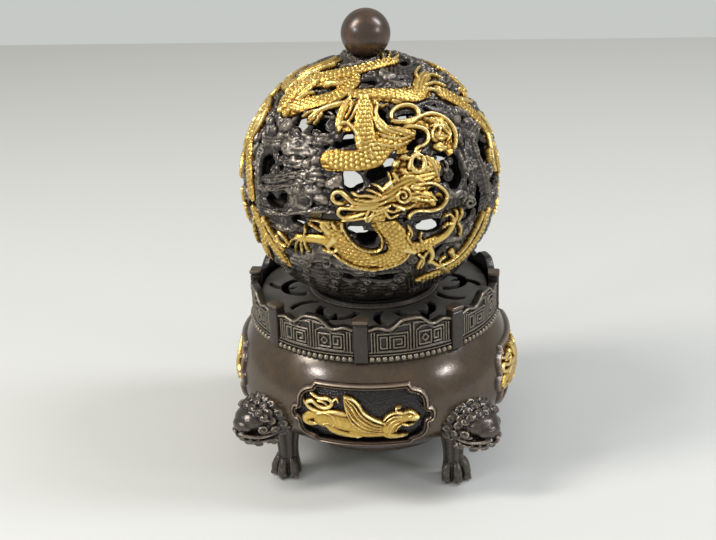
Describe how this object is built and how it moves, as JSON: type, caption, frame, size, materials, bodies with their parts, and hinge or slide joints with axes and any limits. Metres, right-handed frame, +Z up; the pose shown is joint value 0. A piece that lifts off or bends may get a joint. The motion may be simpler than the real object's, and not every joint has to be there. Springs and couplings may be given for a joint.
{
  "type": "tiered incense burner",
  "caption": "Bronze incense burner: bowl on beast mask legs, fret fence, pierced cover plate and an openwork ball of clouds and gilt dragons.",
  "frame": {"origin": "on the floor, under the middle of the bowl", "axes": "+Z up along the axis of the bowl and the ball, -Y out of the front cartouche, +X to the right seen from the front"},
  "size_m": [0.1398, 0.1398, 0.21],
  "materials": {
    "bronze": "brown patinated cast bronze, worn satin",
    "dark_bronze": "dark patinated cast bronze, satin",
    "black_bronze": "near black patinated bronze sheet, smooth satin",
    "gilt_bronze": "fire gilt bronze, bright on the high places",
    "polished_bronze": "red brown patinated bronze, polished smooth"
  },
  "bodies": {
    "base": {"bowl": "bronze", "leg_front_right": "dark_bronze", "leg_back_right": "dark_bronze", "leg_back_left": "dark_bronze", "leg_front_left": "dark_bronze", "cartouche_frame_front": "bronze", "cartouche_frame_right": "bronze", "cartouche_frame_back": "bronze", "cartouche_frame_left": "bronze", "gilt_beast_front": "gilt_bronze", "gilt_beast_right": "gilt_bronze", "gilt_beast_back": "gilt_bronze", "gilt_beast_left": "gilt_bronze", "fence_post_1": "bronze", "fence_post_2": "bronze", "fence_post_3": "bronze", "fence_post_4": "bronze", "fence_post_5": "bronze", "fence_post_6": "bronze", "fence_post_7": "bronze", "fence_post_8": "bronze", "fence_panel_1": "dark_bronze", "fence_panel_2": "dark_bronze", "fence_panel_3": "dark_bronze", "fence_panel_4": "dark_bronze", "fence_panel_5": "dark_bronze", "fence_panel_6": "dark_bronze", "fence_panel_7": "dark_bronze", "fence_panel_8": "dark_bronze"},
    "cover": {"cover_plate": "black_bronze", "ball_foot_ring": "black_bronze", "ball_lower_shell": "dark_bronze", "ball_seam_lip": "dark_bronze", "gilt_coiled_dragon_1": "gilt_bronze", "gilt_banded_dragon_1": "gilt_bronze", "gilt_coiled_dragon_2": "gilt_bronze", "gilt_banded_dragon_2": "gilt_bronze", "gilt_coiled_dragon_3": "gilt_bronze", "gilt_banded_dragon_3": "gilt_bronze"},
    "crown": {"ball_upper_shell": "dark_bronze", "knob_ball": "polished_bronze", "knob_nut": "dark_bronze", "gilt_mane_dragon_1": "gilt_bronze", "gilt_rising_dragon_1": "gilt_bronze", "gilt_arched_dragon_1": "gilt_bronze", "gilt_mane_dragon_2": "gilt_bronze", "gilt_rising_dragon_2": "gilt_bronze", "gilt_arched_dragon_2": "gilt_bronze", "gilt_mane_dragon_3": "gilt_bronze", "gilt_rising_dragon_3": "gilt_bronze", "gilt_arched_dragon_3": "gilt_bronze"}
  },
  "joints": [
    {"name": "cover_lift", "type": "slide", "parent": "base", "child": "cover", "axis": [0, 0, 1], "range_m": [0, 0.04]},
    {"name": "crown_lift", "type": "slide", "parent": "cover", "child": "crown", "axis": [0, 0, 1], "range_m": [0, 0.07]}
  ]
}
